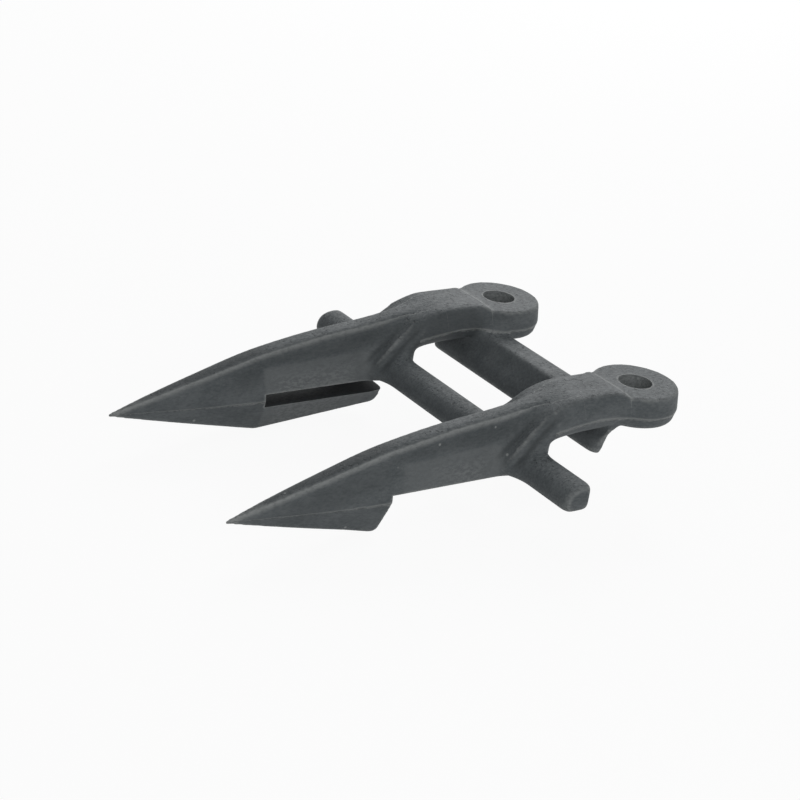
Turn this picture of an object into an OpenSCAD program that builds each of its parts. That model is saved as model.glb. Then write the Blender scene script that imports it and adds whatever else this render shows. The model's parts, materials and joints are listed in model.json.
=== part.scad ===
// Double mower knife guard: a drop-forged steel piece with two pointed fingers,
// two bolt eyes, a front bar over the knife and a rear bar behind it.
// X runs across the guard, the fingers point along -Y and Z is up.
// The origin lies midway between the bolt holes, on the level of the eye faces.

/* [Bolt eyes] */
// Distance between the two bolt holes, and so between the two fingers
hole_pitch = 76.2; // [66:0.1:102]
// Diameter of each bolt hole
bolt_hole_d = 11.4; // [9:0.1:13]
// Diameter of each eye at its parting line
eye_d = 30.6; // [28:0.1:34]
// Thickness of each eye below its face
eye_thick = 11; // [9:0.5:13]
// Distance from the bolt hole to the step where the flat eye face ends
face_reach = 11.2; // [10:0.1:13]

/* [Arms] */
// Height of the forged pad above the eye face
pad_rise = 1.8; // [0.8:0.1:3]
// Width of the pad between its rounded shoulders
pad_w = 18.4; // [16:0.1:20]
// Width of the arm at its parting line
arm_w = 24.4; // [23:0.1:27]
// Thickness of the arm at the pad
arm_thick = 11.6; // [10:0.1:13]
// Distance from the bolt hole to the front end of the pad
pad_reach = 33; // [30:0.5:36]
// Width of the ledge along the parting line of the arms and eyes
ledge_w = 0.35; // [0.2:0.05:0.8]

/* [Fingers] */
// Distance from the bolt hole to the tip
finger_reach = 153.2; // [140:0.1:175]
// Depth of the tip below the eye face
tip_drop = 25; // [24.4:0.1:26]
// Width of the finger across its parting line
finger_w = 16; // [14:0.1:18]
// Width of the crown along the top of the finger
crown_w = 6.6; // [5:0.1:8]
// Depth of the crown below the eye face, above the front wall of the knife slot
crown_drop = 9; // [7.5:0.1:10.5]
// Depth of the keel below the eye face, under the front wall of the knife slot
keel_drop = 37.2; // [35:0.1:39]
// Width of the rounded keel
keel_w = 7; // [5:0.1:9]

/* [Knife slot] */
// Distance from the bolt hole to the front wall of the knife slot
slot_reach = 99; // [94:0.1:104]
// Depth of the upper face of the slot below the eye face
slot_drop = 22; // [21.8:0.1:22.6]
// Height of the knife slot
slot_h = 4.6; // [4.3:0.1:6]
// Length of the lip behind the front wall of the slot
lip_length = 49; // [40:0.1:50]
// Thickness of the lip near its rear end
lip_thick = 6.6; // [5:0.1:8]

/* [Front bar] */
// Distance from the bolt holes to the middle of the front bar
front_bar_reach = 50.3; // [49.5:0.1:51.5]
// Depth of the front bar from front to rear
front_bar_depth = 9.8; // [8:0.1:11]
// Height of the front bar
front_bar_h = 9; // [7:0.1:10]
// Depth of the front bar's underside below the eye face
front_bar_drop = 21.6; // [20.5:0.1:21.7]
// Distance from the open finger's middle to the end of its stub
stub_reach = 37.2; // [28:0.1:40]
// Distance from the lipped finger's middle to the end of its stub
short_stub_reach = 33.4; // [28:0.1:40]

/* [Rear bar] */
// Depth of the rear bar's flat top below the eye face
rear_bar_top = 7.5; // [7:0.1:8.5]
// Depth of the rear bar's lower edge below the eye face
rear_bar_drop = 20; // [18:0.1:21]
// Distance from the bolt holes to the rear bar's lower front edge
rear_bar_reach = 21; // [19:0.1:23]
// Width of the rear bar's flat top
rear_flat_w = 9.2; // [7:0.1:11]
// Distance from a finger's middle to the rear bar's lower end
rear_bar_end = 8; // [6:0.1:10]

/* [Hidden] */
$fn = 64;
FORGED = "#474d50";

finger_x = hole_pitch / 2;
tip_y = -finger_reach;
slot_y = -slot_reach;
nose_length = finger_reach - slot_reach;
slot_top_z = -slot_drop;
slot_floor_z = slot_top_z - slot_h;
parting_z = slot_top_z - slot_h / 2;
lip_end_y = slot_y + lip_length;
lip_round = 3;
bar_y = -front_bar_reach;
bar_z = -front_bar_drop + front_bar_h / 2;
bar_rear_y = bar_y + front_bar_depth / 2;
bar_front_y = bar_y - front_bar_depth / 2;
arm_floor = pad_rise - arm_thick;
face_stock = 0.6;

// Smooth curves through a few points

function between(a, b, t) = a + (b - a) * t;

function hermite(a, b, ma, mb, t) =
    let (t2 = t * t, t3 = t2 * t)
    a * (2 * t3 - 3 * t2 + 1) + ma * (t3 - 2 * t2 + t) + b * (3 * t2 - 2 * t3) + mb * (t3 - t2);

function step(p, i) = (p[i + 1][1] - p[i][1]) / (p[i + 1][0] - p[i][0]);

// Slope at point i that keeps the curve from swinging past its points
function slope(p, i) =
    i == 0 ? step(p, 0) :
    i == len(p) - 1 ? step(p, i - 1) :
    let (a = step(p, i - 1), b = step(p, i))
    a * b <= 0 ? 0 : 2 * a * b / (a + b);

// Value at y of the curve through the [y, value] pairs p
function curve(p, y) =
    y <= p[0][0] ? p[0][1] :
    y >= p[len(p) - 1][0] ? p[len(p) - 1][1] :
    let (
        i = max([for (k = [0:len(p) - 2]) if (p[k][0] <= y) k]),
        h = p[i + 1][0] - p[i][0]
    )
    hermite(p[i][1], p[i + 1][1], slope(p, i) * h, slope(p, i + 1) * h, (y - p[i][0]) / h);

// The rows with more of them filled in between, so that each span has this many steps
function filled(rows, steps) = [
    for (i = [0:len(rows) - 2], k = [0:steps - 1])
        let (
            a = rows[i],
            b = rows[i + 1],
            ma = (b - rows[max(i - 1, 0)]) / 2,
            mb = (rows[min(i + 2, len(rows) - 1)] - a) / 2
        )
        hermite(a, b, ma, mb, k / steps),
    rows[len(rows) - 1]
];

// Solids through rows of rings

// A closed ring from the right half of a section, whose ends lie on the middle plane
function both_sides(half) = concat(
    half,
    [for (i = [len(half) - 2:-1:1]) [-half[i][0], half[i][1], half[i][2]]]
);

function middle(ring) = [for (c = [0:2]) [for (p = ring) p[c]] * [for (p = ring) 1] / len(ring)];

module loft(rings) {
    m = len(rings);
    n = len(rings[0]);
    points = concat([for (r = rings) each r], [middle(rings[0]), middle(rings[m - 1])]);
    sides = [
        for (i = [0:m - 2], j = [0:n - 1])
            let (k = (j + 1) % n, a = i * n, b = a + n)
            each [[a + j, b + j, a + k], [a + k, b + j, b + k]]
    ];
    caps = [
        for (j = [0:n - 1])
            let (k = (j + 1) % n, b = (m - 1) * n)
            each [[m * n, j, k], [m * n + 1, b + k, b + j]]
    ];
    polyhedron(points, concat(sides, caps));
}

// Finger

function nose(t) = between(tip_y, slot_y, t);

crown_curve = [
    [tip_y, -tip_drop + 0.5],
    [nose(0.5), -between(tip_drop, crown_drop, 0.53)],
    [slot_y, -crown_drop],
    [between(slot_y, bar_front_y, 0.55), -crown_drop * 0.54],
    [bar_front_y - 2, -crown_drop * 0.33],
    [bar_rear_y, -crown_drop * 0.12],
    [-pad_reach, pad_rise - 1]
];
crown_half_curve = [
    [tip_y, 0.3],
    [nose(0.25), crown_w * 0.26],
    [nose(0.6), crown_w * 0.42],
    [slot_y, crown_w * 0.5],
    [bar_front_y, crown_w * 0.5],
    [-pad_reach, crown_w * 0.55]
];
edge_half_curve = [
    [tip_y, 0.5],
    [nose(0.26), finger_w * 0.165],
    [nose(0.5), finger_w * 0.295],
    [nose(0.76), finger_w * 0.425],
    [slot_y, finger_w * 0.5],
    [bar_front_y, finger_w * 0.5]
];
edge_curve = [
    [tip_y, -tip_drop],
    [slot_y, parting_z],
    [bar_y, parting_z],
    [bar_rear_y + 1, arm_floor + 2],
    [-pad_reach, arm_floor + 4]
];
keel_half_curve = [
    [tip_y, 0.3],
    [nose(0.5), keel_w * 0.36],
    [nose(0.9), keel_w * 0.5]
];

// Rise of a rounded corner of radius r, at a distance u into it
function corner(r, u) = u <= 0 ? 0 : r - sqrt(max(r * r - u * u, 0));

function keel_z(y, lip) =
    y <= slot_y ?
        between(-tip_drop - 0.5, -keel_drop, (y - tip_y) / nose_length)
            + (lip ? 0 : corner(2.4, y - slot_y + 2.4)) :
    lip && y <= lip_end_y ?
        between(-keel_drop, slot_floor_z - lip_thick, (y - slot_y) / (lip_length - lip_round))
            + lip_thick * corner(1, (y - lip_end_y) / lip_round + 1) :
    curve(edge_curve, y) - 0.6;

function share(y, from, to) = min(max((y - from) / (to - from), 0), 1);

// How hollow the flank is: none at the tip, a little on the nose, fully behind the slot's front wall
function hollow(y) = 0.4 * share(y, nose(0.45), slot_y) + 0.6 * share(y, slot_y - 2, slot_y + 2);

function finger_ring(y, lip) =
    let (
        crown = [curve(crown_half_curve, y), y, curve(crown_curve, y)],
        edge = [curve(edge_half_curve, y), y, curve(edge_curve, y)],
        depth = crown[2] - edge[2],
        keel = [curve(keel_half_curve, y), y, keel_z(y, lip)],
        round = min(crown[0] * 0.3, 0.9),
        straight = between(crown, edge, 0.5) + [0.04 * depth, 0, 0],
        rise = max(between(slot_top_z, crown[2], 0.4), between(edge[2], crown[2], 0.45)),
        ground = [between(crown[0], edge[0], 0.35), y, rise],
        flank = between(straight, ground, hollow(y))
    )
    both_sides([
        [0, y, crown[2] + round * 0.6],
        [crown[0] * 0.6, y, crown[2] + round * 0.45],
        [crown[0] - round * 0.4, y, crown[2]],
        between(crown, flank, 0.12),
        between(crown, flank, 0.55),
        flank,
        between(flank, edge, 0.5),
        edge,
        between(edge, keel, 0.45),
        between(edge, keel, 0.88),
        [keel[0] * 0.6, y, keel[2] + 0.1 * (edge[2] - keel[2]) * 0.3],
        [0, y, keel[2]]
    ]);

finger_stations = concat(
    [for (t = [0:0.08:0.93]) nose(t)],
    [for (d = [-2.4, -1.5, -0.8, -0.3, 0, 0.3, 2]) slot_y + d],
    [for (t = [0.15:0.17:0.9]) between(slot_y, lip_end_y - lip_round, t)],
    [for (d = [0, 1, 1.8, 2.4, 2.8, 3, 3.2]) lip_end_y - lip_round + d],
    [for (t = [0.2:0.2:1]) between(lip_end_y + 0.2, -pad_reach, t)]
);

module finger(lip) {
    loft([for (y = finger_stations) finger_ring(y, lip)]);
}

// Arm and eye

// Rows of top y, top z, bottom y, bottom z, half widths at the top, parting line and bottom,
// and how far the shoulder is folded down, from the flat pad to the bend
arm_rows = let (t = pad_w / 2, m = arm_w / 2, b = arm_w * 0.4, low = -front_bar_drop) [
    [bar_front_y - 6.2, low + 0.7, bar_y - 2, low + 0.4, t - 3.4, m - 6.2, b - 3.8, 1],
    [bar_front_y - 4.8, low + 2.9, bar_y, low + 0.5, t - 1.8, m - 4, b - 1.8, 1],
    [bar_front_y - 1.8, low + 8.6, bar_rear_y - 1.4, low + 1, t, m - 0.8, b + 1, 1],
    [bar_rear_y - 6.4, low + 14.4, bar_rear_y - 0.2, bar_z, t + 0.6, m + 0.6, b + 1.5, 1],
    [bar_rear_y - 0.8, -3.8, bar_rear_y + 0.8, arm_floor - 3.2, t + 0.7, m + 0.8, b + 1, 0.65],
    [bar_rear_y + 4.6, -1, bar_rear_y + 5, arm_floor - 1.2, t + 0.4, m + 0.7, b + 0.5, 0.2],
    [-pad_reach, pad_rise - 0.5, -pad_reach, arm_floor - 0.6, t, m + 0.3, b, 0],
    [-pad_reach + 6, pad_rise, -pad_reach + 6, arm_floor - 0.3, t, m, b, 0],
    [-face_reach - 6, pad_rise, -face_reach - 6, arm_floor, t, m, b, 0],
    [-face_reach - 2.4, pad_rise * 0.8, -face_reach - 2.4, arm_floor - 0.2, t + 0.8, m + 0.2, b + 0.4, 0],
    [-face_reach, pad_rise * 0.5, -face_reach, -eye_thick + 0.8, t + 1.8, m + 0.4, b + 1.2, 0],
    [-eye_d * 0.27, 0.4, -eye_d * 0.27, -eye_thick + 0.5, t + 2.7, m + 0.9, b + 1.9, 0],
    [-eye_d * 0.15, 0.4, -eye_d * 0.15, -eye_thick + 0.5, t + 4, m + 2.3, b + 2.8, 0]
];

// Depths across the shoulder, as shares of the arm's thickness
pad_shoulder = [0, 0, 0, 0, 0, 0.015, 0.07, 0.32, 0.62];
bend_shoulder = [0, 0, 0.02, 0.13, 0.2, 0.33, 0.47, 0.53, 0.68];

function arm_ring(r) =
    let (
        top = [0, r[0], r[1]],
        floor = [0, r[2], r[3]],
        depth = between(pad_shoulder, bend_shoulder, r[7]),
        flat = [for (f = [0, 0.42, 0.56, 0.7, 0.83, 0.94, 1]) f * r[4]],
        half = concat(flat, [between(r[4], r[5], 0.55), r[5]]),
        side = concat(
            [for (i = [0:len(half) - 1]) [half[i], depth[i]]],
            [
                [r[5] - ledge_w, depth[8] + 0.03], [between(r[5], r[6], 0.5), 0.84],
                [r[6], 0.96], [r[6] - 1.5, 1], [0, 1]
            ]
        )
    )
    both_sides([for (s = side) [s[0], 0, 0] + between(top, floor, s[1])]);

module arm() {
    loft([for (r = filled(arm_rows, 3)) arm_ring(r)]);
}

module eye() {
    r = eye_d / 2;
    parting = -0.63 * eye_thick;
    rotate_extrude()
        polygon([
            [0, face_stock], [r - 1.5, face_stock], [r - 0.7, -0.5], [r, parting],
            [r - ledge_w, parting - 0.4], [r - 0.9, -eye_thick + 1], [r - 1.9, -eye_thick], [0, -eye_thick]
        ]);
}

// Bars

// Swelling of a bar near a finger, as a fillet of radius r beside the given half width
function root(x, half, r) =
    let (d = abs(abs(x) - finger_x) - half)
    d >= r ? 0 : d >= 0 ? r - sqrt(r * r - (r - d) * (r - d)) : max(r + d, 0);

// Flare of a bar's front towards a finger, over a length r beside the given half width
function flare(x, half, r) =
    let (d = abs(abs(x) - finger_x) - half)
    d >= r ? 0 : pow(r - max(d, -1), 2) / (2 * r);

front_section = [
    [1, 0.76], [1, -0.6], [0.86, -0.93], [0.5, -1], [-0.5, -1], [-0.84, -0.86], [-0.99, -0.48],
    [-0.97, -0.05], [-0.82, 0.36], [-0.52, 0.68], [-0.1, 0.88], [0.4, 0.98], [0.82, 0.96]
];

// Half width of the finger beside a height on the bar's section, from its edge up its hollow flank
function flank_half(level) = finger_w * between(0.45, 0.3, share(level, -1, 0.7));

function front_ring(x, grow) =
    let (
        rear = root(x, arm_w / 2 - 1, 3),
        top = root(x, arm_w / 2 - 1.8, 7)
    )
    [for (p = front_section) let (front = flare(x, flank_half(p[1]), 10)) [
        x,
        bar_y + p[0] * (front_bar_depth / 2 * grow + (p[0] > 0 ? rear : front)),
        bar_z + p[1] * (front_bar_h / 2 * grow + (p[1] > 0 ? top : 0))
    ]];

root_steps = [21, 18.2, 16.4, 14.8, 13.4, 12.2, 11.2, 10.2, 9, 8, 7.3, 6.6, 5.9, 5.1, 3];

// Stations from the end of a stub to the middle of the bar, with the size of the section at each
function front_half(stub) = concat(
    [for (e = [[0, 0.74], [0.5, 0.87], [1.4, 0.96], [3, 1]]) [finger_x + stub - e[0], e[1]]],
    [for (d = root_steps) [finger_x + d, 1]],
    [for (i = [len(root_steps) - 1:-1:0]) [finger_x - root_steps[i], 1]]
);
short_half = front_half(short_stub_reach);
front_stations = concat(
    front_half(stub_reach),
    [for (i = [len(short_half) - 1:-1:0]) [-short_half[i][0], short_half[i][1]]]
);

module front_bar() {
    loft([for (s = front_stations) front_ring(s[0], s[1])]);
}

module rear_bar() {
    back_y = -rear_bar_reach + 6.3 + rear_flat_w;
    web_y = -rear_bar_reach + 3;
    top = -rear_bar_top;
    low = -rear_bar_drop;
    section = [
        [back_y, top - 3], [web_y + 4.6, top - 4], [web_y + 3.2, top - 5.2],
        [web_y + 1.4, low + 0.7], [web_y + 0.5, low], [web_y - 2.2, low], [web_y - 3.1, low + 1],
        [web_y - 2.6, top - 8.6], [web_y - 1.2, top - 6.6], [web_y + 0.6, top - 5],
        [web_y + 1.9, top - 3], [back_y - rear_flat_w - 0.2, top - 0.8],
        [back_y - rear_flat_w + 0.8, top], [back_y - 0.6, top], [back_y, top - 0.6]
    ];
    ends = finger_x + rear_bar_end;
    half = concat(
        [[ends, 0.35], [ends - 0.6, 0.65], [ends - 1.8, 0.9], [ends - 3.4, 1], [finger_x, 1]],
        [for (d = [8, 12, 12.6, 13.4, 14.6, 16, 18]) [finger_x - d, 1]]
    );
    stations = concat(half, [for (i = [len(half) - 1:-1:0]) [-half[i][0], half[i][1]]]);
    loft([
        for (s = stations)
            let (
                outside = max(abs(s[0]) - finger_x, 0),
                swell = outside > 0 ? 0 : root(s[0], arm_w / 2 + 0.6, 5),
                flange = max(1 - outside / 6, 0.35)
            )
            [for (p = section) [
                s[0] + sign(s[0]) * (1 - s[1]) * 0.35 * (p[1] - low),
                web_y + (p[0] - web_y) * (p[1] < top - 4.5 ? s[1] : flange) + (p[0] > web_y + 8 ? swell : 0),
                p[1] + (p[1] > top - 2.5 ? swell * 0.4 : 0)
            ]]
    ]);
}

// The forging before it is machined, held to its overall width
module forging() {
    resize([hole_pitch + stub_reach + short_stub_reach, 0, 0])
    union() {
        front_bar();
        rear_bar();
        for (side = [-1, 1]) translate([side * finger_x, 0, 0]) {
            finger(side < 0);
            arm();
            eye();
        }
    }
}

module knife_guard() {
    color(FORGED)
    difference() {
        forging();
        for (side = [-1, 1]) translate([side * finger_x, 0, 0]) {
            translate([0, 0, -eye_thick - 1]) cylinder(d = bolt_hole_d, h = eye_thick + 2);
            translate([-eye_d, -face_reach, 0])
                cube([2 * eye_d, face_reach + eye_d, 2 * pad_rise + face_stock]);
            translate([-finger_w, slot_y, slot_floor_z]) cube([2 * finger_w, bar_rear_y - slot_y, slot_h]);
        }
    }
}

knife_guard();
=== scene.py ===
# %% [markdown]
# # A forged double knife guard
#
# The guard is one drop-forged piece of steel with a thin dark coating. Two pointed fingers carry a
# mower knife in a slot, and two flat eyes take the bolts. The solid model gives every size.
# This lesson takes that solid, gives it the soft corners and folds of a forging, cuts the slot and
# the bolt holes back to crisp edges, and paints it with a coat that follows the shape.

# %% Load the solid model
import json
import math

import bmesh
import bpy
from mathutils import Matrix, Vector


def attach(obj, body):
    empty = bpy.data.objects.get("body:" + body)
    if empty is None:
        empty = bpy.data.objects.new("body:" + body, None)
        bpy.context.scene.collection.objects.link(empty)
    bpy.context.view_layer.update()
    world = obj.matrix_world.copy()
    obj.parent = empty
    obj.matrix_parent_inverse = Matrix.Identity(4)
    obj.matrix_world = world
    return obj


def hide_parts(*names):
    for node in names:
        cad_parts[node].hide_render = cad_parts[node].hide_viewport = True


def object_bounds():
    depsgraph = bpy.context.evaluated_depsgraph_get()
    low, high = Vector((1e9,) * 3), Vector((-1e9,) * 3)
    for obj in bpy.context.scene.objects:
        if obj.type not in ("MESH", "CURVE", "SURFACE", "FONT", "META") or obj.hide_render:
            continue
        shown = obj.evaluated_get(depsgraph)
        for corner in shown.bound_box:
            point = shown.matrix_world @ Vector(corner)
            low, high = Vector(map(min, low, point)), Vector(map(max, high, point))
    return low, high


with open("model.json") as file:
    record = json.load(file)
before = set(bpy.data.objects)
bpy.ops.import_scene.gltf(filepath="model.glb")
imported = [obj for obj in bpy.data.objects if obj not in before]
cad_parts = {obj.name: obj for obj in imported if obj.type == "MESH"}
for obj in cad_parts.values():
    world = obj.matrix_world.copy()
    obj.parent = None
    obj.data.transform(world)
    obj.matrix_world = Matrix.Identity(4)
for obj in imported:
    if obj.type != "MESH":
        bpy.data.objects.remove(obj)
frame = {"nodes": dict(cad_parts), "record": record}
cad_low, cad_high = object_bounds()
guard_solid = frame["nodes"]["knife_guard"]
MM = 0.001
print("guard size in mm:", [round(side / MM, 1) for side in cad_high - cad_low])

# %% [markdown]
# ## The sizes that the machined cuts need
#
# Two kinds of faces on the real guard are machined after forging: the knife slot and the two bolt
# holes. The bolt pattern is written in the part's record, so it is read from there. The other sizes
# are the same as in the solid model.

# %% Machined sizes
bolts = next(m for m in frame["record"]["mounts"] if m["name"] == "bar_bolts")["dims"]
finger_x = bolts["spacing_x_mm"] * MM / 2
bolt_hole_r = bolts["hole_r_mm"] * MM
eye_thick = 11 * MM
slot_front_y = -99 * MM
slot_rear_y = -45.4 * MM
slot_top_z = -22 * MM
slot_floor_z = -26.6 * MM
lip_rear_y = -51 * MM
finger_half = 8 * MM
print("bolt holes at", finger_x / MM, "mm from the middle, radius", round(bolt_hole_r / MM, 2), "mm")

# %% [markdown]
# ## A merged copy of the solid
#
# The solid arrives as loose triangles, which is fine for measuring and useless for smoothing. A copy
# is merged first, so that neighbours share their corners. The solid itself stays as it is.

# %% Merge the triangles
merge_distance = 0.002 * MM


def merged_copy(solid):
    bm = bmesh.new()
    bm.from_mesh(solid.data)
    bmesh.ops.remove_doubles(bm, verts=bm.verts, dist=merge_distance)
    return bm


skin_bm = merged_copy(guard_solid)
print("merged corners:", len(skin_bm.verts), "triangles:", len(skin_bm.faces))

# %% [markdown]
# ## Fill the machined cuts
#
# A forge makes the whole blank first and a mill cuts it later. The same order works here: the slot
# and the holes are filled with plain blocks and rods, so that the next steps round the blank and not
# the machined edges. Each filler overlaps its neighbours by half a millimetre. The left finger is
# filled down into its lip. The right one has no lip, so it only takes a thin layer under the finger,
# which keeps the inside corner at its wall crisp.


# %% Add the fillers
def add_block(bm, low, high):
    low, high = Vector(low), Vector(high)
    place = Matrix.Translation((low + high) / 2) @ Matrix.Diagonal((*(high - low), 1))
    return bmesh.ops.create_cube(bm, size=1, matrix=place)["verts"]


def add_rod(bm, x, radius, bottom, top):
    place = Matrix.Translation((x, 0, (bottom + top) / 2))
    made = bmesh.ops.create_cone(
        bm, cap_ends=True, segments=128, radius1=radius, radius2=radius, depth=top - bottom, matrix=place
    )
    return made["verts"]


overlap = 0.5 * MM
fill_half = finger_half - 0.7 * MM
thin_layer = 1.2 * MM
for side in (-1, 1):
    add_rod(skin_bm, side * finger_x, bolt_hole_r + overlap, -eye_thick, 0)
for x, fill_low in ((-finger_x, slot_floor_z - overlap), (finger_x, slot_top_z - thin_layer)):
    add_block(
        skin_bm,
        (x - fill_half, slot_front_y - overlap, fill_low),
        (x + fill_half, lip_rear_y, slot_top_z + overlap),
    )
print("corners with the fillers:", len(skin_bm.verts))

# %% [markdown]
# ## One even skin
#
# The solid meets itself in sharp seams where a bar runs into an arm. Bevels would need clean edge
# loops there, and there are none. A voxel remesh makes one even skin over everything instead, fine
# enough to keep the crown edges, and gives the smoothing a regular grid to work on.

# %% Remesh the blank
voxel = 0.62 * MM


def mesh_object(name, bm):
    mesh = bpy.data.meshes.new(name)
    bm.to_mesh(mesh)
    bm.free()
    made = bpy.data.objects.new(name, mesh)
    bpy.context.scene.collection.objects.link(made)
    return made


def apply_modifiers(piece):
    shaped = bpy.data.meshes.new_from_object(piece.evaluated_get(bpy.context.evaluated_depsgraph_get()))
    piece.modifiers.clear()
    piece.data = shaped


guard = mesh_object("forged_guard", skin_bm)
remesh = guard.modifiers.new("even_skin", "REMESH")
remesh.mode = "VOXEL"
remesh.voxel_size = voxel
apply_modifiers(guard)
print("even skin:", len(guard.data.polygons), "faces")

# %% [markdown]
# ## Fill the inside corners
#
# Steel flows into a die round soft inside corners, so a forging has a fillet wherever two forms meet,
# while its outside edges stay fairly sharp. Plain smoothing would round both and shrink the tips.
# Here a strongly smoothed copy is only allowed to move the skin outwards, which fills the corners.
# The shallow hollow of a finger's flank is kept, because in front of the bar a swelling counts only
# above a small threshold.


# %% Smooth the grid, then swell the corners
def smooth(bm, rounds, verts=None):
    for _ in range(rounds):
        bmesh.ops.smooth_vert(
            bm, verts=verts or bm.verts, factor=0.5, use_axis_x=True, use_axis_y=True, use_axis_z=True
        )


def span(value, low, high):
    return min(max((value - low) / (high - low), 0), 1)


flank_threshold = 0.22
less_behind_bar = 0.18


def kept_hollow(place):
    return MM * (flank_threshold - less_behind_bar * span(place.y / MM, -64, -58))


def fill_corners(bm, rounds):
    bm.normal_update()
    before = [(v.co.copy(), v.normal.copy()) for v in bm.verts]
    smooth(bm, rounds)
    most = 0
    for v, (place, normal) in zip(bm.verts, before):
        swell = max((v.co - place).dot(normal) - kept_hollow(place), 0)
        v.co = place + normal * swell
        most = max(most, swell)
    return most


fill_passes = 3
fill_rounds = 44
blank_bm = bmesh.new()
blank_bm.from_mesh(guard.data)
smooth(blank_bm, 1)
deepest = max(fill_corners(blank_bm, fill_rounds) for _ in range(fill_passes))
smooth(blank_bm, 1)
print("deepest fill in one pass:", round(deepest / MM, 2), "mm")

# %% [markdown]
# ## The folds of the bend
#
# Each arm bends down to the front bar, and the steel has wrinkled there: a soft ridge runs down the
# bend with a valley on each side. First the seams between bar and arm are smoothed away in that place
# alone. The three lines of the fold are parallel, so one wave across slanted planes makes them all.
# Each corner of the skin moves along its normal by the height of that wave, which fades out at the
# pad, at the bar and inside the finger, and is weaker on the side where the outline shows no fold.
# The lengths in this and the next steps are in millimetres, as they were read from the part.

# %% Press the folds into the bend
finger_side = 8
slant_y = 1.055
slant_x = 1.546
ridge = 43
valley_away = 7.5
front_rise = 0.6
rear_rise = 0.4
weak_share = 0.4


def finger_place(v):
    return abs(abs(v.co.x) - finger_x) / MM, v.co.y / MM, v.co.z / MM


def rise_and_fall(value, start, full, fade, end):
    return span(value, start, full) * (1 - span(value, fade, end))


def fold_height(across, y, z):
    turn = z - slant_y * y + slant_x * (finger_side - across)
    wave = math.cos(math.pi * (turn - ridge) / valley_away)
    inside = rise_and_fall(turn, 32, 37, 50, 55) * span(across, 4.5, 7)
    rise = front_rise if turn < ridge else rear_rise
    return rise * wave * inside * rise_and_fall(z, -20, -15, -5, 0)


def in_bend(v):
    across, y, z = finger_place(v)
    outer = across > 8.5 and z > -11
    return 5 < across < 14.5 and -61 < y < -41 and -18 < z < -1 and (v.normal.y < 0.3 or outer)


blank_bm.normal_update()
smooth(blank_bm, 40, verts=[v for v in blank_bm.verts if in_bend(v)])
blank_bm.normal_update()
moved = 0
for v in blank_bm.verts:
    if v.normal.z > -0.3 and v.normal.y < 0.4:
        height = fold_height(*finger_place(v))
        if v.normal.x < 0:
            height *= weak_share
        v.co += v.normal * height * MM
        moved += abs(height) > 0.05
smooth(blank_bm, 1)
print("corners moved by the folds:", moved)

# %% [markdown]
# ## The wall of the open nose
#
# The nose without a lip ends in a wall that leans: its keel ends a little further forward than its
# parting line. An extra solid for so small a slope isn't worth its faces. The corners near the wall
# are shifted instead, more the lower they lie, and the shift fades out towards the tip.

# %% Lean the wall
wall_lean = 1.7
leaned = 0
for v in blank_bm.verts:
    _, y, z = finger_place(v)
    if v.co.x > 0 and -112 < y < -98 and z < -24:
        lean = wall_lean * span(-z, 24, 37) * span(y, -112, -100)
        v.co.y -= lean * MM
        leaned = max(leaned, lean)
print("wall leans by", round(leaned, 2), "mm")

# %% [markdown]
# ## Worn edges
#
# The end of the lip is worn round, and so are the edges of the pads that face each other. A bevel
# needs an edge to follow, and the skin is an even grid. A few rounds of smoothing in those two places
# alone give the same soft edge.


# %% Round the worn edges
def on_lip_end(v):
    _, y, z = finger_place(v)
    return v.co.x < 0 and y > -56 and -29 < z < -23


def on_inner_edge(v):
    across, y, z = finger_place(v)
    return abs(v.co.x) < finger_x and 6 < across < 14 and -43 < y < -14 and z > -4


for worn_place, rounds in ((on_lip_end, 30), (on_inner_edge, 16)):
    worn_verts = [v for v in blank_bm.verts if worn_place(v)]
    smooth(blank_bm, rounds, verts=worn_verts)
    print("corners rounded", worn_place.__name__, len(worn_verts))
blank_bm.to_mesh(guard.data)
blank_bm.free()

# %% [markdown]
# ## Cut the machined faces
#
# The slot and the holes come back as boolean cuts with the same blocks and rods, now at their true
# size. The slot's cutter carries the second material, whose near-black colour is painted shade of the
# deep slot, darkened a little more by old grease. The holes were coated together with the forging and
# keep its material.

# %% Cut the slot and the holes
for name in ("forged_coat", "slot_grease_and_shade"):
    guard.data.materials.append(bpy.data.materials.new(name))
skin_finish = 0
slot_grease_and_shade_finish = 1


def cut_away(piece, cut_bm, finish):
    for face in cut_bm.faces:
        face.material_index = finish
    cutter = mesh_object("machined_cut", cut_bm)
    for material in piece.data.materials:
        cutter.data.materials.append(material)
    cut = piece.modifiers.new("machining", "BOOLEAN")
    cut.operation = "DIFFERENCE"
    cut.solver = "MANIFOLD"
    cut.object = cutter
    apply_modifiers(piece)
    bpy.data.objects.remove(cutter)
    print("faces after a cut:", len(piece.data.polygons))


milled_bm, drilled_bm = bmesh.new(), bmesh.new()
for side in (-1, 1):
    x = side * finger_x
    add_block(
        milled_bm,
        (x - 2 * finger_half, slot_front_y, slot_floor_z),
        (x + 2 * finger_half, slot_rear_y, slot_top_z),
    )
    add_rod(drilled_bm, x, bolt_hole_r, -2 * eye_thick, eye_thick)
cut_away(guard, milled_bm, slot_grease_and_shade_finish)
cut_away(guard, drilled_bm, skin_finish)

# %% [markdown]
# ## Where the coat rubs thin
#
# The edges that stand proud are painted lighter, partly as rubbed coat and partly as a painted
# highlight, and the inside corners are painted darker, partly as dirt and partly as painted shade.
# Both follow the curve of the skin, so each corner stores how far it stands out from its neighbours.
# The number goes into an attribute of the mesh, which the materials read later.

# %% Store how far each corner stands proud
shortest_reach = 0.05 * MM
rub_rounds = 3


def neighbour_mean(values, v):
    near = [values[e.other_vert(v).index] for e in v.link_edges]
    return sum(near) / len(near)


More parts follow.
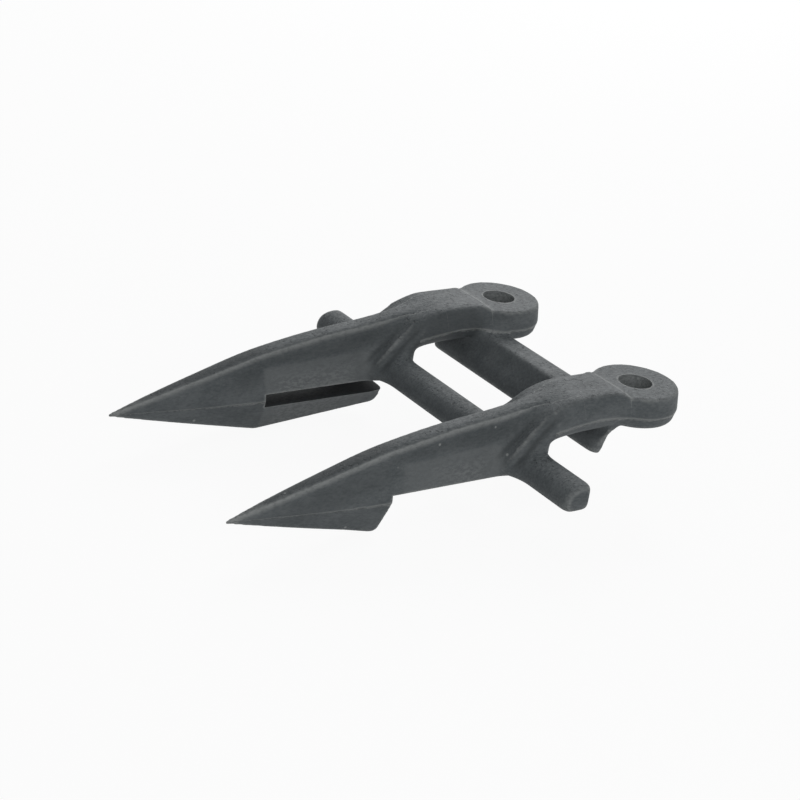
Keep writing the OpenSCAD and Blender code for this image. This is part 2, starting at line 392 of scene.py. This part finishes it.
def store_rub(mesh, rounds):
    bm = bmesh.new()
    bm.from_mesh(mesh)
    bm.normal_update()
    rub = []
    for v in bm.verts:
        reach = [e.other_vert(v).co - v.co for e in v.link_edges]
        mean = sum(reach, Vector()) / len(reach)
        length = sum(r.length for r in reach) / len(reach)
        rub.append(-mean.dot(v.normal) / max(length, shortest_reach))
    for _ in range(rounds):
        rub = [0.5 * rub[v.index] + 0.5 * neighbour_mean(rub, v) for v in bm.verts]
    bm.free()
    mesh.attributes.new("rub", "FLOAT", "POINT").data.foreach_set("value", rub)
    return rub


rub = sorted(store_rub(guard.data, rub_rounds))
print("rub from", round(rub[0], 3), "to", round(rub[-1], 3))

# %% [markdown]
# ## Lines that are finer than the skin
#
# Three marks are thinner than the skin's grid: the parting line, where the two halves of the die met,
# the rubbed edges of each finger's crown and each pad, and the rim of the rubbed band under the
# hollow of each flank. All three are painted lighter, partly as worn coat and partly as painted
# light. A distance changes slowly over the surface even where the line itself is thin.
# So each corner stores its distance to each line in millimetres, and the materials draw the lines
# from those numbers. Where a line fades or ends, its distance is made larger than it is.

# %% Where the lines run
parting_line = ((-153.2, -25), (-99, -24.3), (-40, -6.9), (-32, -6), (-24, -5.4), (-15, -6), (-6, -7))
crown_half = ((-153.2, 0.3), (-139.6, 1.7), (-120.7, 2.8), (-99, 3.3), (-55, 3.3), (-33, 3.6))
crown_top = ((-153.2, -24.5), (-126, -16.5), (-99, -9), (-75, -4.9), (-57, -3), (-45, -1.1))
band_rim = ((-99, -14.0), (-82, -13.0), (-60, -11.9))
nose_end_y = -99
arm_start_y = -42
pad_start_y = -30
pad_step_y = -11.2


def height_at(points, y):
    for (y0, z0), (y1, z1) in zip(points, points[1:]):
        if y <= y1:
            return z0 + (z1 - z0) * span(y, y0, y1)
    return points[-1][1]


def push_away(distance, extra):
    return distance + math.copysign(extra, distance)


def seam_distance(across, y, z):
    above = z - height_at(parting_line, y)
    along_slot = min(y - nose_end_y, arm_start_y - y)
    fading = 0.018 * max(nose_end_y - y, 0)
    return push_away(above, 8 * max(across - 16, along_slot, 0) + fading)


def crown_distance(across, y, z):
    return across - height_at(crown_half, y) + height_at(crown_top, y) - z


def edge_distance(across, y, z):
    if y < pad_start_y:
        return push_away(crown_distance(across, y, z), 0.15 * max(y + 52, 0))
    return push_away(y - pad_step_y, 0.3 + 3 * max(-0.3 - z, across - 12, 0))


def band_distance(y, z, has_lip):
    behind_wall = y - nose_end_y if has_lip else 0.25 * (y + 94)
    return min(height_at(band_rim, y) - z, behind_wall, 0.6 * (-58 - y))


print("lines are placed from", parting_line[0][0], "to", parting_line[-1][0], "mm along the guard")

# %% [markdown]
# ## Painted shade and level faces
#
# The painted shade is broad and soft, so each corner stores it as a plain share from 0 to 1. It is
# dark colour where shade falls: along the crown of each nose, which leans forward, in the hollow of
# the flanks, on the folds of the bend and most in their valleys, and on the inner sides of the arms.
# Scale that lay on the level faces was hammered in, so the attribute "level" says where the grain is
# coarser.

# %% Store the marks
deep_fold = 0.5


# Painted shade: a share of dark colour where shade falls on the guard.
def painted_shade_share(place, past_crown, above_rim):
    groove = span(-past_crown, 0.5, 1.6) * span(-place[1], 93, 100)
    hollow = rise_and_fall(past_crown, 1, 4, 10, 14) * rise_and_fall(above_rim, 0.2, 2.2, 8, 14)
    fold = fold_height(*place)
    bend = abs(fold) / deep_fold
    valley = max(-fold, 0) / deep_fold
    return min(max(groove, 0.5 * hollow, 0.5 * bend + 0.45 * valley), 1)


# Painted shade on the inner sides of the arms, below the pads.
def inner_side_shade(v, across, y):
    inward = -math.copysign(1, v.co.x) * v.normal.x
    return span(inward, 0.3, 0.8) * rise_and_fall(y, -50, -44, -18, -12) * span(across, 6, 9)


def store_marks(mesh):
    marks = {"seam": [], "edge": [], "band": [], "painted_shade": [], "level": []}
    for v in mesh.vertices:
        place = finger_place(v)
        across, y, z = place
        band = band_distance(y, z, v.co.x < 0)
        painted_shade = painted_shade_share(place, crown_distance(*place), -band)
        marks["seam"].append(seam_distance(*place))
        marks["edge"].append(edge_distance(*place))
        marks["band"].append(band)
        marks["painted_shade"].append(max(painted_shade, 0.8 * inner_side_shade(v, across, y)))
        marks["level"].append(span(v.normal.z, 0.6, 0.95))
    for name, values in marks.items():
        mesh.attributes.new(name, "FLOAT", "POINT").data.foreach_set("value", values)
        print("mark:", name, "from", round(min(values), 1), "to", round(max(values), 1))


store_marks(guard.data)

# %% [markdown]
# ## Smooth shading
#
# The grid is fine, yet flat faces would still show as tiny tiles. Smooth shading hides them. The
# machined edges have to stay crisp, so every edge that turns more than the given angle is kept sharp.

# %% Shade the skin smooth and keep the machined edges
sharp_angle = 38
for face in guard.data.polygons:
    face.use_smooth = True
guard.data.set_sharp_from_angle(angle=math.radians(sharp_angle))
print("sharp edges:", sum(edge.use_edge_sharp for edge in guard.data.edges))

# %% [markdown]
# ## Small helpers for the materials
#
# Both finishes share three effects, so each effect is a node group that is built once. The helpers
# here keep that short: each one makes a node, and each of its inputs takes a number or a link.


# %% Node helpers
def new_group(name, inputs, outputs):
    group = bpy.data.node_groups.new(name, "ShaderNodeTree")
    for socket, kind, value in inputs:
        made = group.interface.new_socket(socket, in_out="INPUT", socket_type=kind)
        made.default_value = value
    for socket, kind in outputs:
        group.interface.new_socket(socket, in_out="OUTPUT", socket_type=kind)
    return group, group.nodes.new("NodeGroupInput"), group.nodes.new("NodeGroupOutput")


def feed(tree, value, socket):
    if isinstance(value, bpy.types.NodeSocket):
        tree.links.new(value, socket)
    else:
        socket.default_value = value


def add_node(tree, kind, settings=None, **inputs):
    node = tree.nodes.new(kind)
    for key, value in (settings or {}).items():
        setattr(node, key, value)
    for key, value in inputs.items():
        feed(tree, value, node.inputs[key.replace("_", " ")])
    return node


def ramp(tree, value, low, high, to_low=0.0, to_high=1.0):
    limits = {"From_Min": low, "From_Max": high, "To_Min": to_low, "To_Max": to_high}
    settings = {"interpolation_type": "SMOOTHSTEP"}
    return add_node(tree, "ShaderNodeMapRange", settings, Value=value, **limits).outputs["Result"]


def noise(tree, place, scale, detail, roughness=0.55):
    node = add_node(
        tree, "ShaderNodeTexNoise", Vector=place, Scale=scale, Detail=detail, Roughness=roughness
    )
    return node.outputs["Fac"]


def math_node(tree, operation, *values):
    node = add_node(tree, "ShaderNodeMath", {"operation": operation})
    for value, socket in zip(values, node.inputs):
        feed(tree, value, socket)
    return node.outputs["Value"]


print("node helpers are ready")

# %% [markdown]
# ## The grain of the scale
#
# Forged steel has a skin of scale under its coat: a faint blotch, a fine grain, pits and a few bright
# nicks. Steel stretches along the fingers in the die, so the grain is drawn out in that direction by
# a Mapping node. The nicks are Voronoi cells, of which only a few are chosen by their random colour.

# %% Group: scale grain
drawn_out = (1, 0.4, 1)
pit_size = 0.6
nick_scale = 260.0
scale_grain, given, result = new_group(
    "scale_grain",
    [
        ("Place", "NodeSocketVector", (0, 0, 0)),
        ("Blotch Scale", "NodeSocketFloat", 90.0),
        ("Grain Scale", "NodeSocketFloat", 900.0),
    ],
    [
        ("Blotch", "NodeSocketFloat"),
        ("Grain", "NodeSocketFloat"),
        ("Pits", "NodeSocketFloat"),
        ("Nicks", "NodeSocketFloat"),
    ],
)
place = given.outputs["Place"]
drawn = add_node(scale_grain, "ShaderNodeMapping", Vector=place, Scale=drawn_out)
along = drawn.outputs["Vector"]
blotch = noise(scale_grain, along, given.outputs["Blotch Scale"], 5)
grain = noise(scale_grain, along, given.outputs["Grain Scale"], 4, 0.65)
pit_scale = math_node(scale_grain, "MULTIPLY", given.outputs["Grain Scale"], pit_size)
pits = noise(scale_grain, place, pit_scale, 1)
scale_grain.links.new(ramp(scale_grain, blotch, 0.3, 0.7), result.inputs["Blotch"])
scale_grain.links.new(grain, result.inputs["Grain"])
scale_grain.links.new(ramp(scale_grain, pits, 0.64, 0.72), result.inputs["Pits"])
cells = add_node(scale_grain, "ShaderNodeTexVoronoi", Vector=place, Scale=nick_scale)
small = ramp(scale_grain, cells.outputs["Distance"], 0.17, 0.08)
chosen = add_node(scale_grain, "ShaderNodeSeparateColor", Color=cells.outputs["Color"])
rare = ramp(scale_grain, chosen.outputs["Red"], 0.955, 0.96)
scale_grain.links.new(math_node(scale_grain, "MULTIPLY", small, rare), result.inputs["Nicks"])
print("group:", scale_grain.name, len(scale_grain.nodes), "nodes")

# %% [markdown]
# ## Rubbed edges with painted highlights, and corners with dirt and painted shade
#
# This group turns the stored curve of the skin into two masks. What stands proud is worn and gets a
# painted highlight, and what lies in a corner gets dirt and painted shade. The grain breaks the wear
# up, because a coat never rubs off evenly.

# %% Group: rubbed edges with painted highlights and painted corner shade
edge_wear_and_shade, given, result = new_group(
    "edge_wear_and_shade",
    [
        ("Rub", "NodeSocketFloat", 0.0),
        ("Breakup", "NodeSocketFloat", 0.5),
        ("Edge Start", "NodeSocketFloat", 0.025),
        ("Edge Full", "NodeSocketFloat", 0.11),
    ],
    [("Wear And Highlight", "NodeSocketFloat"), ("Dirt And Shade", "NodeSocketFloat")],
)
proud = ramp(edge_wear_and_shade, given.outputs["Rub"], given.outputs["Edge Start"], given.outputs["Edge Full"])
broken = ramp(edge_wear_and_shade, given.outputs["Breakup"], 0.2, 0.75, 0.25, 1.0)
# Wear with a painted highlight on the edges that stand proud.
wear_and_highlight = math_node(edge_wear_and_shade, "MULTIPLY", proud, broken)
# Dirt with painted shade in the inside corners.
dirt_and_shade = ramp(edge_wear_and_shade, given.outputs["Rub"], -0.01, -0.09)
edge_wear_and_shade.links.new(wear_and_highlight, result.inputs["Wear And Highlight"])
edge_wear_and_shade.links.new(dirt_and_shade, result.inputs["Dirt And Shade"])
print("group:", edge_wear_and_shade.name, len(edge_wear_and_shade.nodes), "nodes")

# %% [markdown]
# ## Forge marks and painted highlights
#
# The last group draws the lines and the rubbed band from the stored distances, as lighter colour
# that is partly worn coat and partly painted highlight. A ramp that starts a few tenths of a
# millimetre from a line makes it thin. The grain is added to the parting line's distance, so that the
# line wanders a little. The ledge at that line goes into the bump.

# %% Group: forge marks and painted highlights
wander_by = 1.4
marks_and_highlights, given, result = new_group(
    "marks_and_highlights",
    [
        ("Seam", "NodeSocketFloat", 5.0),
        ("Edge", "NodeSocketFloat", 5.0),
        ("Band", "NodeSocketFloat", -5.0),
        ("Breakup", "NodeSocketFloat", 0.5),
    ],
    [("Line", "NodeSocketFloat"), ("Ledge", "NodeSocketFloat"), ("Rubbed And Lit Band", "NodeSocketFloat")],
)
seam, edge, band, breakup = (given.outputs[name] for name in ("Seam", "Edge", "Band", "Breakup"))
wander = math_node(marks_and_highlights, "MULTIPLY_ADD", breakup, wander_by, -wander_by / 2)
wavy = math_node(marks_and_highlights, "ADD", seam, wander)
near_seam = ramp(marks_and_highlights, math_node(marks_and_highlights, "ABSOLUTE", wavy), 0.75, 0.05)
edge_in = ramp(marks_and_highlights, edge, -0.7, 0.1)
edge_out = ramp(marks_and_highlights, edge, 2.6, 0.1)
near_edge = math_node(marks_and_highlights, "MULTIPLY", edge_in, edge_out)
# The lines are painted lighter, partly worn coat and partly a painted highlight on the crown edges, the
# pad step and the parting line.
line = math_node(marks_and_highlights, "MAXIMUM", near_seam, near_edge)
broken = ramp(marks_and_highlights, breakup, 0.25, 0.6, 0.5, 1.0)
marks_and_highlights.links.new(math_node(marks_and_highlights, "MULTIPLY", line, broken), result.inputs["Line"])
marks_and_highlights.links.new(ramp(marks_and_highlights, seam, -0.35, 0.1), result.inputs["Ledge"])
# The band is painted lighter, partly rubbed coat and partly painted light on its upturned face.
in_band = ramp(marks_and_highlights, band, -0.8, 0.8, 0.0, 0.5)
lower = ramp(marks_and_highlights, band, 1.0, 9.0)
speckle = math_node(marks_and_highlights, "MULTIPLY", lower, ramp(marks_and_highlights, breakup, 0.42, 0.62))
marks_and_highlights.links.new(math_node(marks_and_highlights, "ADD", in_band, speckle), result.inputs["Rubbed And Lit Band"])
print("group:", marks_and_highlights.name, len(marks_and_highlights.nodes), "nodes")

# %% [markdown]
# ## The two finishes
#
# The coat is a thin satin layer of dark slate grey. It isn't bare metal, so the shader stays a
# dielectric with a weak, broad gloss. The forged skin shows the grain, the marks and the wear, with
# painted shade in its hollows and painted highlights along its edges. The slot has a finer grain,
# hardly any gloss and a near-black colour, which is painted shade of the deep slot with some grease.
# One function paints both: it lays one mask after another over the base colour, as a painter glazes.

# %% Colours of the coats
coat_dark = (0.084, 0.094, 0.098, 1)
coat_light = (0.116, 0.127, 0.131, 1)
coat_fleck = (0.17, 0.182, 0.186, 1)
# The slot's colours are painted shade of the deep slot, with a little grease.
slot_grease_and_shade_dark = (0.016, 0.019, 0.021, 1)
slot_grease_and_shade_light = (0.026, 0.030, 0.032, 1)
# Partly rubbed coat and partly painted light on the lower flank band.
rubbed_and_lit_grey = (0.172, 0.182, 0.183, 1)
# Worn coat and nicks, and a painted highlight on edges and lines.
worn_and_highlight_grey = (0.27, 0.28, 0.275, 1)
# Dirt, grain and pits, and painted shade in corners, hollows and folds.
dirt_and_shade_grey = (0.04, 0.045, 0.047, 1)
print("skin from", coat_dark[:3], "to", coat_light[:3])

# %% Paint the coats
relief_depth = 0.25 * MM
ledge_rise = 1.6


def mix_colour(tree, factor, a, b):
    node = add_node(tree, "ShaderNodeMix", {"data_type": "RGBA"})
    for value, socket in ((factor, node.inputs[0]), (a, node.inputs[6]), (b, node.inputs[7])):
        feed(tree, value, socket)
    return node.outputs[2]


def add_group(tree, group, **inputs):
    return add_node(tree, "ShaderNodeGroup", {"node_tree": group}, **inputs)


def paint_coat(material, dark, light, fleck_grey, blotch_scale, grain_scale, bump, gloss, coat_marks_and_light):
    material.use_nodes = True
    tree = material.node_tree
    shader = tree.nodes["Principled BSDF"]
    place = tree.nodes.new("ShaderNodeTexCoord").outputs["Object"]
    rub, seam, edge, band, painted_shade, flat = (
        add_node(tree, "ShaderNodeAttribute", {"attribute_name": name}).outputs["Fac"]
        for name in ("rub", "seam", "edge", "band", "painted_shade", "level")
    )
    scale = add_group(tree, scale_grain, Place=place, Blotch_Scale=blotch_scale, Grain_Scale=grain_scale)
    grain = scale.outputs["Grain"]
    edges = add_group(tree, edge_wear_and_shade, Rub=rub, Breakup=grain)
    marks = add_group(tree, marks_and_highlights, Seam=seam, Edge=edge, Band=band, Breakup=grain)
    colour = mix_colour(tree, scale.outputs["Blotch"], dark, light)
    coarse = ramp(tree, flat, 0, 1, 0.5, 1.0)
    light_flecks = math_node(tree, "MULTIPLY", ramp(tree, grain, 0.5, 0.64), coarse)
    dark_flecks = math_node(tree, "MULTIPLY", ramp(tree, grain, 0.5, 0.36), coarse)
    pits = math_node(tree, "MULTIPLY", scale.outputs["Pits"], ramp(tree, flat, 0, 1, 0.15, 1.0))
    # Grain, pits and nicks belong to the coat; the shade share is painted shade, the corner mask is dirt
    # with painted shade, and the band, edges and lines are partly painted light.
    for mask, share, paint in (
        (light_flecks, 0.4, fleck_grey),
        (dark_flecks, 0.5 * coat_marks_and_light, dirt_and_shade_grey),
        (pits, 0.7 * coat_marks_and_light, dirt_and_shade_grey),
        (painted_shade, 0.65 * coat_marks_and_light, dirt_and_shade_grey),
        (marks.outputs["Rubbed And Lit Band"], 0.9 * coat_marks_and_light, rubbed_and_lit_grey),
        (edges.outputs["Dirt And Shade"], 0.8 * coat_marks_and_light, dirt_and_shade_grey),
        (edges.outputs["Wear And Highlight"], 0.75 * coat_marks_and_light, worn_and_highlight_grey),
        (marks.outputs["Line"], 0.8 * coat_marks_and_light, worn_and_highlight_grey),
        (scale.outputs["Nicks"], 0.9 * coat_marks_and_light, worn_and_highlight_grey),
    ):
        colour = mix_colour(tree, math_node(tree, "MULTIPLY", mask, share), colour, paint)
    tree.links.new(colour, shader.inputs["Base Color"])
    tree.links.new(ramp(tree, grain, 0.3, 0.7, 0.64, 0.58), shader.inputs["Roughness"])
    height = math_node(tree, "SUBTRACT", math_node(tree, "MULTIPLY", grain, coarse), pits)
    ledge = math_node(tree, "MULTIPLY", marks.outputs["Ledge"], ledge_rise)
    height = math_node(tree, "ADD", height, ledge)
    relief = add_node(tree, "ShaderNodeBump", Strength=bump, Distance=relief_depth, Height=height)
    tree.links.new(relief.outputs["Normal"], shader.inputs["Normal"])
    shader.inputs["IOR"].default_value = 1.5
    shader.inputs["Specular IOR Level"].default_value = gloss
    print("coat:", material.name, len(tree.nodes), "nodes")


paint_coat(
    bpy.data.materials["forged_coat"],
    dark=coat_dark,
    light=coat_light,
    fleck_grey=coat_fleck,
    blotch_scale=160,
    grain_scale=1400,
    bump=0.9,
    gloss=0.18,
    coat_marks_and_light=1,
)
paint_coat(
    bpy.data.materials["slot_grease_and_shade"],
    dark=slot_grease_and_shade_dark,
    light=slot_grease_and_shade_light,
    fleck_grey=slot_grease_and_shade_light,
    blotch_scale=150,
    grain_scale=1700,
    bump=0.3,
    gloss=0.05,
    coat_marks_and_light=0.1,
)

# %% [markdown]
# ## The skin stands for the solid
#
# The finished skin is the guard that is seen, and the solid model stays behind it for collision. The
# guard has no joint, so the skin rides on the one body.

# %% Put the skin in the solid's place
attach(guard, "root")
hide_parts("knife_guard")
print("skin:", guard.name, len(guard.data.polygons), "faces")

# %% [markdown]
# ## A pale floor
#
# The guard stands in a white studio. The floor is white cloth, and partly white by itself to the
# camera and in reflections, so that only a faint shadow stays. The Light Path node tells those rays
# apart from the rays that light the guard.


# %% Floor
def seen_rays(tree):
    rays = tree.nodes.new("ShaderNodeLightPath")
    seen = math_node(tree, "MAXIMUM", rays.outputs["Is Camera Ray"], rays.outputs["Is Glossy Ray"])
    return math_node(tree, "MAXIMUM", seen, rays.outputs["Is Transmission Ray"])


def mix_shaders(tree, share, first, second):
    mix = tree.nodes.new("ShaderNodeMixShader")
    for value, socket in zip((share, first.outputs[0], second.outputs[0]), mix.inputs):
        tree.links.new(value, socket)
    return mix.outputs[0]


pure_white = (1, 1, 1, 1)
cloth_grey = (0.86, 0.86, 0.86, 1)
white_share = 0.93
floor_bm = bmesh.new()
bmesh.ops.create_circle(
    floor_bm, cap_ends=True, segments=96, radius=3, matrix=Matrix.Translation((0, 0, cad_low.z))
)
floor = mesh_object("floor", floor_bm)
cloth = bpy.data.materials.new("white_cloth")
cloth.use_nodes = True
tree = cloth.node_tree
tree.nodes.remove(tree.nodes["Principled BSDF"])
diffuse = add_node(tree, "ShaderNodeBsdfDiffuse", Color=cloth_grey)
glow = add_node(tree, "ShaderNodeEmission", Color=pure_white, Strength=1.0)
surface = mix_shaders(tree, math_node(tree, "MULTIPLY", seen_rays(tree), white_share), diffuse, glow)
tree.links.new(surface, tree.nodes["Material Output"].inputs["Surface"])
floor.data.materials.append(cloth)
print("floor at", round(cad_low.z / MM, 1), "mm")

# %% [markdown]
# ## The light tent
#
# The world is a white tent. The camera and the reflections see it plain white, while it lights the
# guard only weakly, so that the lamps can shape it.

# %% World
tent_strength = 0.24
world = bpy.data.worlds.new("light_tent")
bpy.context.scene.world = world
world.use_nodes = True
tree = world.node_tree
dim = tree.nodes["Background"]
dim.inputs["Color"].default_value = (0.95, 0.97, 1, 1)
dim.inputs["Strength"].default_value = tent_strength
white = add_node(tree, "ShaderNodeBackground", Color=pure_white, Strength=1.0)
surface = mix_shaders(tree, seen_rays(tree), dim, white)
tree.links.new(surface, tree.nodes["World Output"].inputs["Surface"])
print("tent lights the guard with", tent_strength)

# %% [markdown]
# ## The lamps
#
# The main lamp stands behind the guard on the left: level faces catch it, and faces that lean forward
# stay dark. The flanks live from the light that the cloth throws back, with a weak lamp on the right
# and a weaker one overhead.

# %% Lamps
middle = (cad_low + cad_high) / 2


def add_lamp(name, place, size, watts):
    lamp = bpy.data.lights.new(name, "AREA")
    lamp.size = size
    lamp.energy = watts
    made = bpy.data.objects.new(name, lamp)
    made.location = place
    made.rotation_euler = (middle - Vector(place)).to_track_quat("-Z", "Y").to_euler()
    bpy.context.scene.collection.objects.link(made)
    print("lamp:", name, watts, "W")


add_lamp("behind_left", (-0.8, 0.65, 0.62), 0.6, 7)
add_lamp("right_side", (0.85, -0.35, 0.36), 0.5, 2.9)
add_lamp("overhead", (0.0, 0.2, 0.9), 0.8, 1)

# %% [markdown]
# ## The camera
#
# A photograph of a part on a table is taken from a little above with a long lens. The angles and the
# distance were found by matching the bolt holes, the tips and the bar ends of the part. The small
# roll is there because the guard lies on its noses and its rear bar when it is photographed.

# %% Camera
image_width = 800
focal_pixels = 1982
camera_place = Vector((472.4, -431.5, 248.7)) * MM
camera = bpy.data.cameras.new("camera")
camera.sensor_width = 36
camera.lens = camera.sensor_width * focal_pixels / image_width
camera_object = bpy.data.objects.new("camera", camera)
turn = Matrix.Rotation(math.radians(52.33), 4, "Z")
tilt = Matrix.Rotation(math.radians(90 - 23.80), 4, "X")
roll = Matrix.Rotation(math.radians(8.50), 4, "Z")
camera_object.matrix_world = Matrix.Translation(camera_place) @ turn @ tilt @ roll
bpy.context.scene.collection.objects.link(camera_object)
bpy.context.scene.camera = camera_object
bpy.context.scene.view_settings.view_transform = "Standard"
print("lens:", round(camera.lens, 1), "mm")
